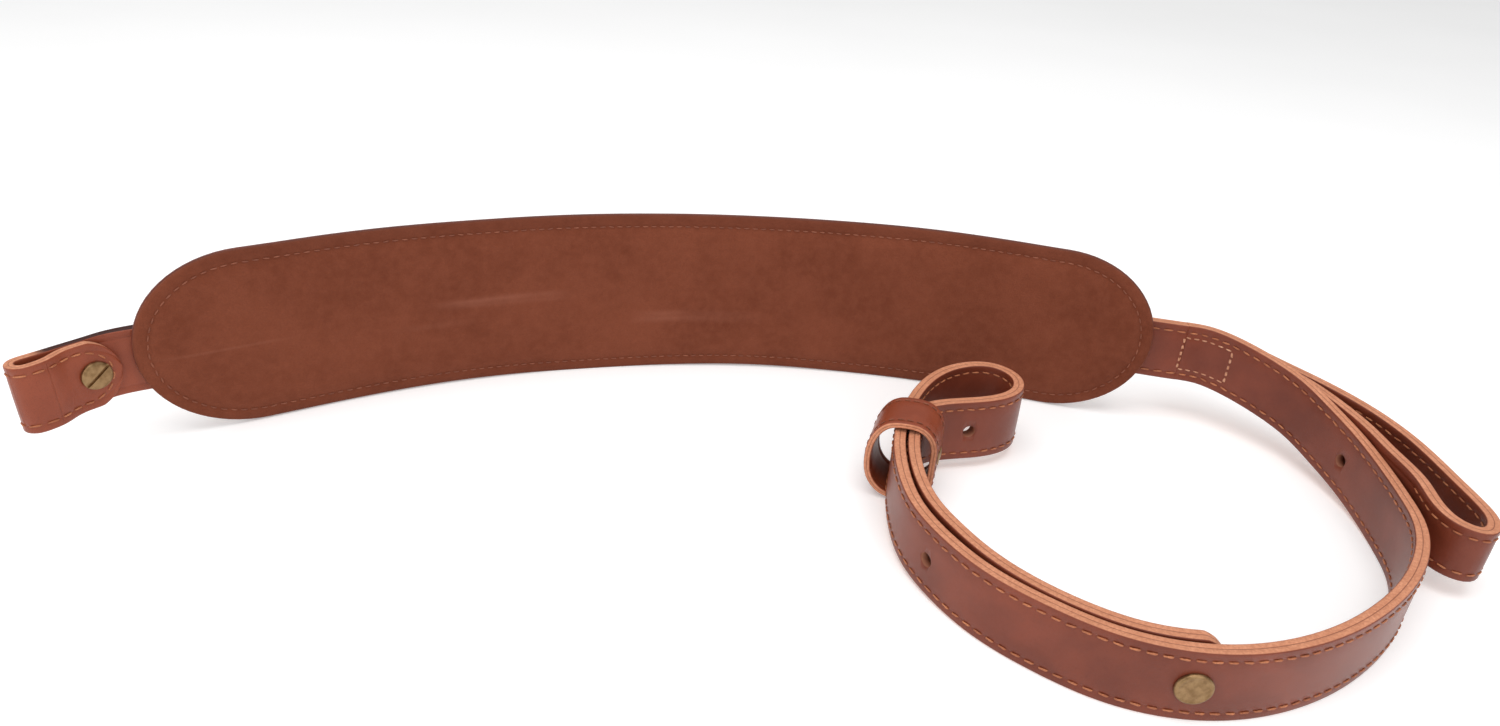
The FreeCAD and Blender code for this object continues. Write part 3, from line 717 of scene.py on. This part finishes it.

# %% [markdown]
# ## The strap along the back, and the right-hand bend
# One strap is sewn along the leather side of the pad from end to end and carries the load. Past the
# pad's right end it becomes the long sling strap. The short stretch across the bending line is its own
# piece, attached to neither body, and its cut ends meet the neighbours exactly.

# %% Carrier strap and right bend
carrier_s = np.linspace(-(PAD_LENGTH / 2 + 3.6 * MM), PAD_LENGTH / 2 + 4 * MM, 900)
point, along, out = pad_frame(carrier_s)
carrier = Line(point + out * (PAD_THICK + PLY) + UP * STRAP_RISE, carrier_s[0], ready=True)
sewn = strap("carrier_strap", carrier, -(PAD_LENGTH / 2 - 4 * MM), PAD_LENGTH / 2 - 6 * MM, 2 * PLY, STRAP,
             [chestnut, raw_edge], wobble=0.0, step=4 * MM)
sewn_rows = rows_on(carrier, -(PAD_LENGTH / 2 - 5 * MM), PAD_LENGTH / 2 - 6 * MM, 2 * PLY, STRAP, sides=(1,))
sewn_seam = sew("carrier_stitches", sewn_rows, tan_thread)
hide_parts("carrier_inner_ply", "carrier_outer_ply")
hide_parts("carrier_thread")
RIGID_FROM = 9 * MM     # the sling is stiff from here on, past the bend
before = carrier.at(np.linspace(PAD_LENGTH / 2 - 14 * MM, PAD_LENGTH / 2 + 3 * MM, 5))[0]
after = sling.at(np.linspace(2 * MM, 20 * MM, 6))[0]
turn_line = Line(np.concatenate([before, after]), PAD_LENGTH / 2 - 14 * MM)


def station(line, where):
    return float(line.s[np.argmin(np.linalg.norm(line.p[:, :2] - where[:2], axis=1))])


bend_from = station(turn_line, carrier.at(PAD_LENGTH / 2 - 6.3 * MM)[0][0])
bend_to = station(turn_line, sling.at(RIGID_FROM + 0.3 * MM)[0][0])
bend = strap("right_bend", turn_line, bend_from, bend_to, 2 * PLY, STRAP, [chestnut, raw_edge],
             wobble=0.0, step=0.8 * MM)
bend_seam = sew("right_bend_stitches", rows_on(turn_line, bend_from, bend_to, 2 * PLY, STRAP), tan_thread)
blend_from, blend_to = turn_line.at(bend_from + 1 * MM)[0][0], turn_line.at(bend_to - 1 * MM)[0][0]
for piece in (sewn, sewn_seam):
    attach(piece, "pad")
for piece in (bend, bend_seam):
    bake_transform(piece)

# %% [markdown]
# ## The sling strap and its tail
# The long strap sweeps round the table, goes up through the keeper, makes the end loop and comes back
# down beside itself. It is one strap from the bend to the rounded tip, so it is one piece here. The
# holes let the post be moved.

# %% Sling strap
long_strap = strap("sling_strap", sling, RIGID_FROM, tail_tip, 2 * PLY, STRAP,
                   [chestnut, raw_edge, raw_edge], tip=True)
for s in (89, 351, 266, 528):
    centre, _, side = sling.at(s * MM, 0, STRAP / 2)
    punch(long_strap, centre[0], side[0], 2.5 * MM, 7 * MM, raw_edge)
centre, _, side = sling.at(tail_post, 0, STRAP / 2)
punch(long_strap, centre[0], side[0], 2.5 * MM, 7 * MM, raw_edge)
rows = rows_on(sling, RIGID_FROM + 0.5 * MM, 0.498, 2 * PLY, STRAP, sides=(-1,))
rows += rows_on(sling, 0.112, 0.498, 2 * PLY, STRAP, sides=(1,))
sling_seam = sew("sling_stitches", rows, tan_thread)
tail_rows = rows_on(sling, 0.498, tail_tip - 13 * MM, 2 * PLY, STRAP)
tail_seam = sew("tail_stitches", tail_rows, tan_thread)
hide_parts("sling_inner_ply", "sling_outer_ply", "tail_inner_ply", "tail_outer_ply")
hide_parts("sling_thread")
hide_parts("tail_thread")

# %% [markdown]
# ## The carrying loop and its box stitch
# A second, narrower doubled strap is folded behind the sling strap to make a loop for the hand. Both of
# its ends are trapped under one rectangle of stitching, whose short sides are sewn twice and so look
# paler.

# %% Carrying loop
back1, back2 = 4.75 * MM, 9.5 * MM
drop = [(6, 17.3), (14, 17.3), (22, 17.0), (32, 16.3)]


def hand_point(s, off, z):
    place = sling.at(s * MM, off)[0][0]
    return np.array([place[0], place[1], z * LIFT * MM])


leaving = [(44, 15), (58, 13.5), (74, 11.9), (90, 10.4), (102, 9.5)]
out_leg = [hand_point(s, back1, z) for s, z in drop + leaving]
back_leg = [hand_point(s, back2, z) for s, z in reversed(drop + [(42, 15)])]
hand = Line(out_leg + [table(x, y, z * LIFT) for x, y, z in HAND] + back_leg)
hand_loop = strap("hand_loop_strap", hand, 0, hand.end, 2 * PLY, HAND_WIDE, [chestnut, raw_edge], wobble=0.6)
reach = station(hand, table(85.5, -67, 0))
hand_rows = rows_on(hand, reach, hand.end - 4 * MM, 2 * PLY, HAND_WIDE, sides=(-1,))
hand_rows += rows_on(hand, 0.052, hand.end - 0.052, 2 * PLY, HAND_WIDE, sides=(1,))
hand_seam = sew("hand_loop_stitches", hand_rows, tan_thread)
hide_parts("hand_loop_inner_ply", "hand_loop_outer_ply")
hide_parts("hand_loop_thread")
box_rows = [row_on(sling, 8.4 * MM, 29.6 * MM, 2 * PLY, -1, z, 0.05 * MM) for z in (5.4 * MM, 20.1 * MM)]
for s in (8.4 * MM, 29.6 * MM):
    for shift in (0.0, 0.35 * MM):
        z = np.linspace(5.4 * MM, 20.1 * MM, 24)
        points, _, side = sling.at(np.full(24, s + shift), -PLY + 0.05 * MM, z)
        box_rows.append((points, -side))
box = sew("box_stitching", box_rows, pale_thread, pitch=2.9 * MM, thick=0.28 * MM, gap=0.8 * MM)
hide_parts("box_stitch")
for piece in (long_strap, sling_seam, tail_seam, hand_loop, hand_seam, box):
    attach(piece, "sling")
print("stitches so far:", sum(len(o.data.vertices) for o in (sling_seam, tail_seam, hand_seam, box)) // 72)

# %% [markdown]
# ## The short end strap
# The left strap is thinner. It leaves the pad, folds round whatever ring is being carried, and comes
# back in front of itself, where one screw closes it. It is one strap again, in three stretches: the back
# layer with the fold, a short stretch between the fold and the flap, and the flap. The edge is
# dyed on the back layer only.

# %% End strap, fold and flap
outward_x = -np.array(tip_along) * (1, -1, 1)
turned = math.atan2(outward_x[1], outward_x[0]) + math.radians(21)
ex = np.array([math.cos(turned), math.sin(turned), 0])
ey = np.array([-ex[1], ex[0], 0])
REACH, FOLD, FLAP_Y, FLAP_TIP = 29.2, 3.7, 3.45, 0.2
flap_x, climb = REACH - 1.8, 7.4 - 3.45


def end_at(x, y):
    return left + ex * x * MM + ey * y * MM + UP * STRAP_RISE


pad_left = pad_frame(-(PAD_LENGTH / 2 + np.array([-14, -9, -4, 1]) * MM))
start = [p + o * (PAD_THICK + PLY) + UP * STRAP_RISE for p, o in zip(pad_left[0], pad_left[2])]
straight = [end_at(x, 0) for x in (3, 8, 14, 20, 25)]
steps = np.radians(np.arange(0, 181, 22.5))
arc = [end_at(REACH + FOLD * math.sin(a), FOLD - FOLD * math.cos(a)) for a in steps]
flap_plan = [(flap_x - 1, 7.35), (flap_x - 3.2, 7.4 - 0.1 * climb), (flap_x - 6.6, 7.4 - 0.45 * climb),
             (flap_x - 9.7, FLAP_Y + 0.19 * climb), (flap_x - 12.7, FLAP_Y + 0.025 * climb),
             (flap_x - 16.2, FLAP_Y), (5, FLAP_Y), (FLAP_TIP, FLAP_Y)]
end_line = Line(start + straight + arc + [end_at(x, y) for x, y in flap_plan])
pad_edge, _, edge_out = (v[0] for v in pad_frame(-(PAD_LENGTH / 2 - 5 * MM)))
s_start = station(end_line, pad_edge + edge_out * (PAD_THICK + PLY))
s_back, s_fold = station(end_line, end_at(8, 0)), station(end_line, end_at(REACH + 3.4, 5.2))
s_flap, s_tip = station(end_line, end_at(flap_x - 3.2, 7.0)), end_line.end
burnished = cut_edge("burnished edge", dyed_until=station(end_line, end_at(26, 0)))


def lap(s):
    """The strap is skived down from the thickness of the pad's strap."""
    u = min(1.0, max(0.0, (s - s_start) / (s_back - s_start)))
    return 2 * PLY + (2 * END_PLY - 2 * PLY) * u * u * (3 - 2 * u)


end_bend = strap("left_bend", end_line, s_start, s_back + 0.2 * MM, 2 * END_PLY, STRAP,
                 [bright_leather, burnished], thick_at=lap, wobble=0.0, step=0.8 * MM)
back_layer = strap("end_strap", end_line, s_back, s_fold, 2 * END_PLY, STRAP,
                   [bright_leather, burnished, raw_edge], wobble=0.0, step=0.6 * MM)
unroll = strap("flap_crease", end_line, s_fold - 0.2 * MM, s_flap + 0.2 * MM, 2 * END_PLY, STRAP,
               [bright_leather, burnished], wobble=0.0, step=0.4 * MM)
flap = strap("end_flap", end_line, s_flap, s_tip, 2 * END_PLY, STRAP,
             [bright_leather, burnished, raw_edge], tip=True, wobble=0.0, step=0.8 * MM)
punch(back_layer, end_at(9, 0) + UP * STRAP / 2, ey, 2.5 * MM, 4.4 * MM, raw_edge)
punch(flap, end_at(9, FLAP_Y) + UP * STRAP / 2, ey, 2.5 * MM, 4.4 * MM, raw_edge)


def tongue_row(line, s0, s1, thick, width, side, inset):
    """One row that goes out along the strap, round its tongue and back."""
    r = 0.53 * width
    turn_at = s1 - r
    sweep = np.linspace(0, math.pi, 30)
    s = np.concatenate([np.linspace(s0, turn_at, 40), turn_at + (r - inset) * np.sin(sweep),
                        np.linspace(turn_at, s0, 40)])
    z = np.concatenate([np.full(40, width - inset), width / 2 + (width / 2 - inset) * np.cos(sweep),
                        np.full(40, inset)])
    points, _, out = line.at(s, side * (thick / 2 - 0.1 * MM), z)
    return points, out * side


flap_rows = [tongue_row(end_line, s_flap, s_tip, 2 * END_PLY, STRAP, -1, HEM)]
crease_rows = rows_on(end_line, s_fold, s_flap, 2 * END_PLY, STRAP, sides=(-1,))
back_rows = rows_on(end_line, s_back, s_fold, 2 * END_PLY, STRAP, sides=(-1,))
flap_seam = sew("end_flap_stitches", flap_rows, tan_thread, pitch=4.2 * MM)
crease_seam = sew("crease_stitches", crease_rows, tan_thread)
back_seam = sew("end_strap_stitches", back_rows, tan_thread)
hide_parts("end_strap_inner_ply", "end_strap_outer_ply")
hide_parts("end_flap_inner_ply", "end_flap_outer_ply")
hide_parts("end_thread")
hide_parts("end_flap_thread")
bend_ends = end_line.at(s_start + 1 * MM)[0][0], end_line.at(s_back - 1 * MM)[0][0]
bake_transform(end_bend)
for piece in (back_layer, back_seam):
    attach(piece, "end_strap")
for piece in (unroll, crease_seam):
    crease_ends = end_line.at(s_fold)[0][0], end_line.at(s_flap - 1 * MM)[0][0]
    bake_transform(piece)
for piece in (flap, flap_seam):
    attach(piece, "end_flap")
marks = s_start, s_back, s_fold, s_flap, s_tip
print("end strap stations (mm):", [round(v * 1000, 1) for v in marks])

# %% [markdown]
# ## The keeper
# The keeper is a loose band that holds the strap and its tail together and slides along them. It is a
# doubled strip bent into an oval, sewn near both rims, lapped on the tight side and closed with two
# brass rivets. The same strap section is swept round a closed outline this time, with the strip's width
# lying along the strap.

# %% Keeper
KEEPER_LONG, KEEPER_WALL = 20 * MM, 2.4 * MM
k_point, k_along, k_left = (v[0] for v in sling.at(413 * MM, 0, STRAP / 2))
k_low = k_point - k_along * KEEPER_LONG / 2
pinch = 6.6 + tail_gap(413)
tight, bulge, tall = pinch + 4.7, 2.2 + 6.8, 12.7 + 1.4
oval = [(bulge, -1), (bulge - 1.4, 7.5), (3.2, tall - 1), (-2, tall + 0.1), (-8, tall - 0.6),
        (0.6 - tight, tall - 4.7), (-tight, 4.4), (-tight, -4.4), (0.6 - tight, 4.7 - tall),
        (-8, 0.6 - tall), (-2, -tall - 0.1), (3.2, 1 - tall), (bulge - 1.4, -8.5)]
ring_points = smooth_points([(a * MM, b * MM, 0) for a, b in oval * 3 + oval[:1]], 0.6 * MM)
third = len(ring_points) // 3
loop = ring_points[third:2 * third]
tangent = np.gradient(ring_points, axis=0)[third:2 * third]
tangent /= np.linalg.norm(tangent, axis=1)[:, None]
outward = np.stack([tangent[:, 1], -tangent[:, 0]], 1)
outward *= np.where((outward * loop[:, :2]).sum(1) < 0, -1, 1)[:, None]


def ring_at(off, far):
    flat = loop[:, :2] + outward * off
    return k_low + flat[:, :1] * k_left + flat[:, 1:2] * UP + far * k_along


profile = section(KEEPER_WALL, KEEPER_LONG, 2.6 * MM)
verts = np.concatenate([ring_at(KEEPER_WALL / 2 + off, far) for off, far, _ in profile])
n, rows_n = len(loop), len(profile)
faces, slots = [], []
for i in range(rows_n):
    j = (i + 1) % rows_n
    for k in range(n):
        m = (k + 1) % n
        faces.append((i * n + k, i * n + m, j * n + m, j * n + k))
        slots.append(1 if profile[i][2] and profile[j][2] else 0)
keeper_edge = cut_edge("keeper edge")
across = np.concatenate([np.full(n, off / (KEEPER_WALL / 2)) for off, _, _ in profile])
keeper = mesh_object("keeper_band", verts, faces, [bright_leather, keeper_edge], slots,
                     {"across": across, "run": np.zeros(len(verts)), "up": np.zeros(len(verts))})
keeper_rows = []
for far in (2.6 * MM, KEEPER_LONG - 2.6 * MM):
    ring = ring_at(KEEPER_WALL - 0.16 * MM, far)
    facing = outward[:, :1] * k_left + outward[:, 1:2] * UP
    keeper_rows.append((np.concatenate([ring, ring[:1]]), np.concatenate([facing, facing[:1]])))
keeper_seam = sew("keeper_stitches", keeper_rows, dark_thread, pitch=3.4 * MM, thick=0.3 * MM)
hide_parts("keeper_outer", "keeper_lining")
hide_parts("keeper_thread")
for piece in (keeper, keeper_seam):
    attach(piece, "keeper")

# %% [markdown]
# ## Screws, posts and rivets
# The hardware is turned brass, so each piece is a profile spun round its axis: a dished flange with a
# rounded rim for the binding post, a low slotted head for each screw, a shallow dome for the rivets. The
# slot is milled with a boolean and its corners keep the sharpness of a cutter.

# %% Turned hardware


def turned_part(name, centre, axis, profile, sides=64):
    """Spins (radius, height) pairs in millimetres about an axis through centre."""
    frame_z = Vector(axis).normalized()
    turn = frame_z.to_track_quat("Z", "Y").to_matrix()
    verts, faces = [], []
    for r, h in profile:
        for a in np.linspace(0, 2 * math.pi, sides, endpoint=False):
            spoke = Vector((r * math.cos(a), r * math.sin(a), h)) * MM
            verts.append(Vector(centre) + turn @ spoke)
    for i in range(len(profile) - 1):
        for k in range(sides):
            j = (k + 1) % sides
            faces.append((i * sides + k, i * sides + j, (i + 1) * sides + j, (i + 1) * sides + k))
    faces.append(tuple(reversed(range(sides))))
    faces.append(tuple((len(profile) - 1) * sides + k for k in range(sides)))
    made = mesh_object(name, verts, faces, [brass], [0] * len(faces))
    made.data.set_sharp_from_angle(angle=math.radians(32))
    return made


def mill_slot(target, centre, axis, tilt, deep):
    axis = Vector(axis).normalized()
    flat = Vector((-axis.y, axis.x, 0)).normalized()
    along_slot = flat * math.cos(math.radians(tilt)) + Vector((0, 0, 1)) * math.sin(math.radians(tilt))
    wide = axis.cross(along_slot)
    verts = [Vector(centre) + along_slot * a * 7 * MM + wide * b * 0.55 * MM + axis * c
             for c in (0.003, -deep) for a, b in ((-1, -1), (1, -1), (1, 1), (-1, 1))]
    faces = [(0, 1, 2, 3), (7, 6, 5, 4), (0, 4, 5, 1), (1, 5, 6, 2), (2, 6, 7, 3), (3, 7, 4, 0)]
    cutter = mesh_object("slot cutter", verts, faces, [brass], [0] * 6, smooth=False)
    boolean = target.modifiers.new("slot", "BOOLEAN")
    boolean.object, boolean.operation, boolean.solver = cutter, "DIFFERENCE", "EXACT"
    apply_modifier(target, "slot")
    bpy.data.objects.remove(cutter, do_unlink=True)
    target.data.set_sharp_from_angle(angle=math.radians(32))


def screw_profile(head, shank):
    return [(1.35, -shank), (1.4, -shank + 0.3), (1.4, 0.0), (head - 0.1, 0.0), (head, 0.15),
            (head, 0.75), (head - 0.12, 1.05), (head - 0.45, 1.28),
            (head - 1.2, 1.42), (head - 2.8, 1.5), (0.4, 1.52)]


screw_joint = joints["end_screw_turn"]
screw_out = ey
screw_at = np.array(screw_joint["pos_m"])
end_screw = turned_part("end_screw_turned", screw_at, screw_out, screw_profile(5.25, 4.4))
mill_slot(end_screw, screw_at + screw_out * 1.5 * MM, screw_out, 35, 0.9 * MM)
p_point, _, p_left = (v[0] for v in sling.at(266 * MM, PLY + 0.05 * MM, STRAP / 2))
post = turned_part("sling_post_turned", p_point, p_left,
                   [(2.4, -9.0), (2.4, 0.0), (5.35, 0.0), (5.5, 0.2), (5.5, 0.7), (5.32, 1.08),
                    (4.95, 1.32), (4.6, 1.38), (4.35, 1.30), (4.1, 1.25), (3.0, 1.27), (0.4, 1.3)])
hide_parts("end_screw")
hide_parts("sling_post")
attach(end_screw, "end_screw")
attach(post, "sling")
rivet_parts = []
for number, (far, z) in enumerate(((5.6, 1.8), (13.4, -1.0))):
    spot = k_low + k_along * far * MM + UP * z * MM - k_left * (tight + 2.42) * MM
    rivet_parts.append(turned_part("keeper_rivet_%d" % (number + 1), spot, -k_left,
                                   [(2.5, 0), (2.52, 0.12), (2.35, 0.38), (1.9, 0.58),
                                    (1.1, 0.72), (0.3, 0.76)]))
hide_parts("keeper_rivet_caps")
for piece in rivet_parts:
    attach(piece, "keeper")
for node in ("end_post", "sling_screw", "keeper_rivet_posts"):
    solid = frame["nodes"][node]
    solid.data.materials.clear()
    solid.data.materials.append(brass)
    soften = solid.modifiers.new("worn corners", "BEVEL")
    soften.width, soften.segments, soften.limit_method, soften.angle_limit = 0.00012, 2, "ANGLE", 0.6

# %% [markdown]
# ## Table, light and camera
# The strap stands on a plain white sheet. One large soft light above and in front gives the leather its
# broad highlight, a weaker one from the left opens the shadows, and the even surroundings keep the
# background pale. The camera stands low and close, about two hand spans above the table.

# %% Set, lights and camera
floor_finish = Finish("pale floor", Specular_IOR_Level=0.1)
floor_tone = floor_finish.noise(3, 2).ramp(0.2, 0.8)
floor_finish.shader.inputs["Emission Color"].default_value = colour(1, 1, 1)
floor_finish.shader.inputs["Emission Strength"].default_value = 0.22
paper = floor_finish.mix(floor_tone, colour(0.90, 0.90, 0.90), colour(0.93, 0.93, 0.93))
floor_finish.wear(Base_Color=paper, Roughness=0.9)
sheet = mesh_object("backdrop", [(-6, -3, 0), (6, -3, 0), (6, 9, 0), (-6, 9, 0)], [(0, 1, 2, 3)],
                    [floor_finish.material], [0], smooth=False)


def area_light(name, place, aim, size, power, tint=(1, 1, 1)):
    data = bpy.data.lights.new(name, "AREA")
    data.shape, data.size, data.size_y, data.energy, data.color = "RECTANGLE", size[0], size[1], power, tint
    lamp = bpy.data.objects.new(name, data)
    bpy.context.scene.collection.objects.link(lamp)
    lamp.location = place
    lamp.rotation_euler = (Vector(aim) - Vector(place)).to_track_quat("-Z", "Y").to_euler()
    return lamp


area_light("overhead", (-0.1, -0.25, 1.35), (0, 0.0, 0), (1.3, 0.9), 10)
area_light("front", (0.25, -1.3, 0.75), (0.05, 0, 0.02), (1.2, 0.7), 5.5)
area_light("left", (-1.3, -0.35, 0.5), (0, 0, 0.03), (0.7, 0.7), 3)
world = bpy.data.worlds.new("studio")
world.use_nodes = True
world.node_tree.nodes["Background"].inputs["Color"].default_value = colour(1.0, 1.0, 1.0)
world.node_tree.nodes["Background"].inputs["Strength"].default_value = 0.58
bpy.context.scene.world = world
bpy.context.scene.view_settings.view_transform = "Standard"
bpy.context.scene.view_settings.look = "None"

eye = Vector((pad_x - 0.028, pad_y - 0.4027, 0.216))
level = Vector((0.160, 0.987, 0)).normalized()
side = Vector((level.y, -level.x, 0))
down, roll = math.radians(27.8), math.radians(3.55)
forward = level * math.cos(down) - Vector((0, 0, 1)) * math.sin(down)
above = level * math.sin(down) + Vector((0, 0, 1)) * math.cos(down)
across_view = side * math.cos(roll) + above * math.sin(roll)
up_view = above * math.cos(roll) - side * math.sin(roll)
camera_data = bpy.data.cameras.new("camera")
camera_data.sensor_fit = "HORIZONTAL"
camera_data.sensor_width = 36
camera_data.lens = 36 * 1000 / 1500
camera_data.clip_start = 0.01
camera = bpy.data.objects.new("camera", camera_data)
bpy.context.scene.collection.objects.link(camera)
pose = Matrix((across_view, up_view, -forward)).transposed().to_4x4()
pose.translation = eye
camera.matrix_world = pose
bpy.context.scene.camera = camera
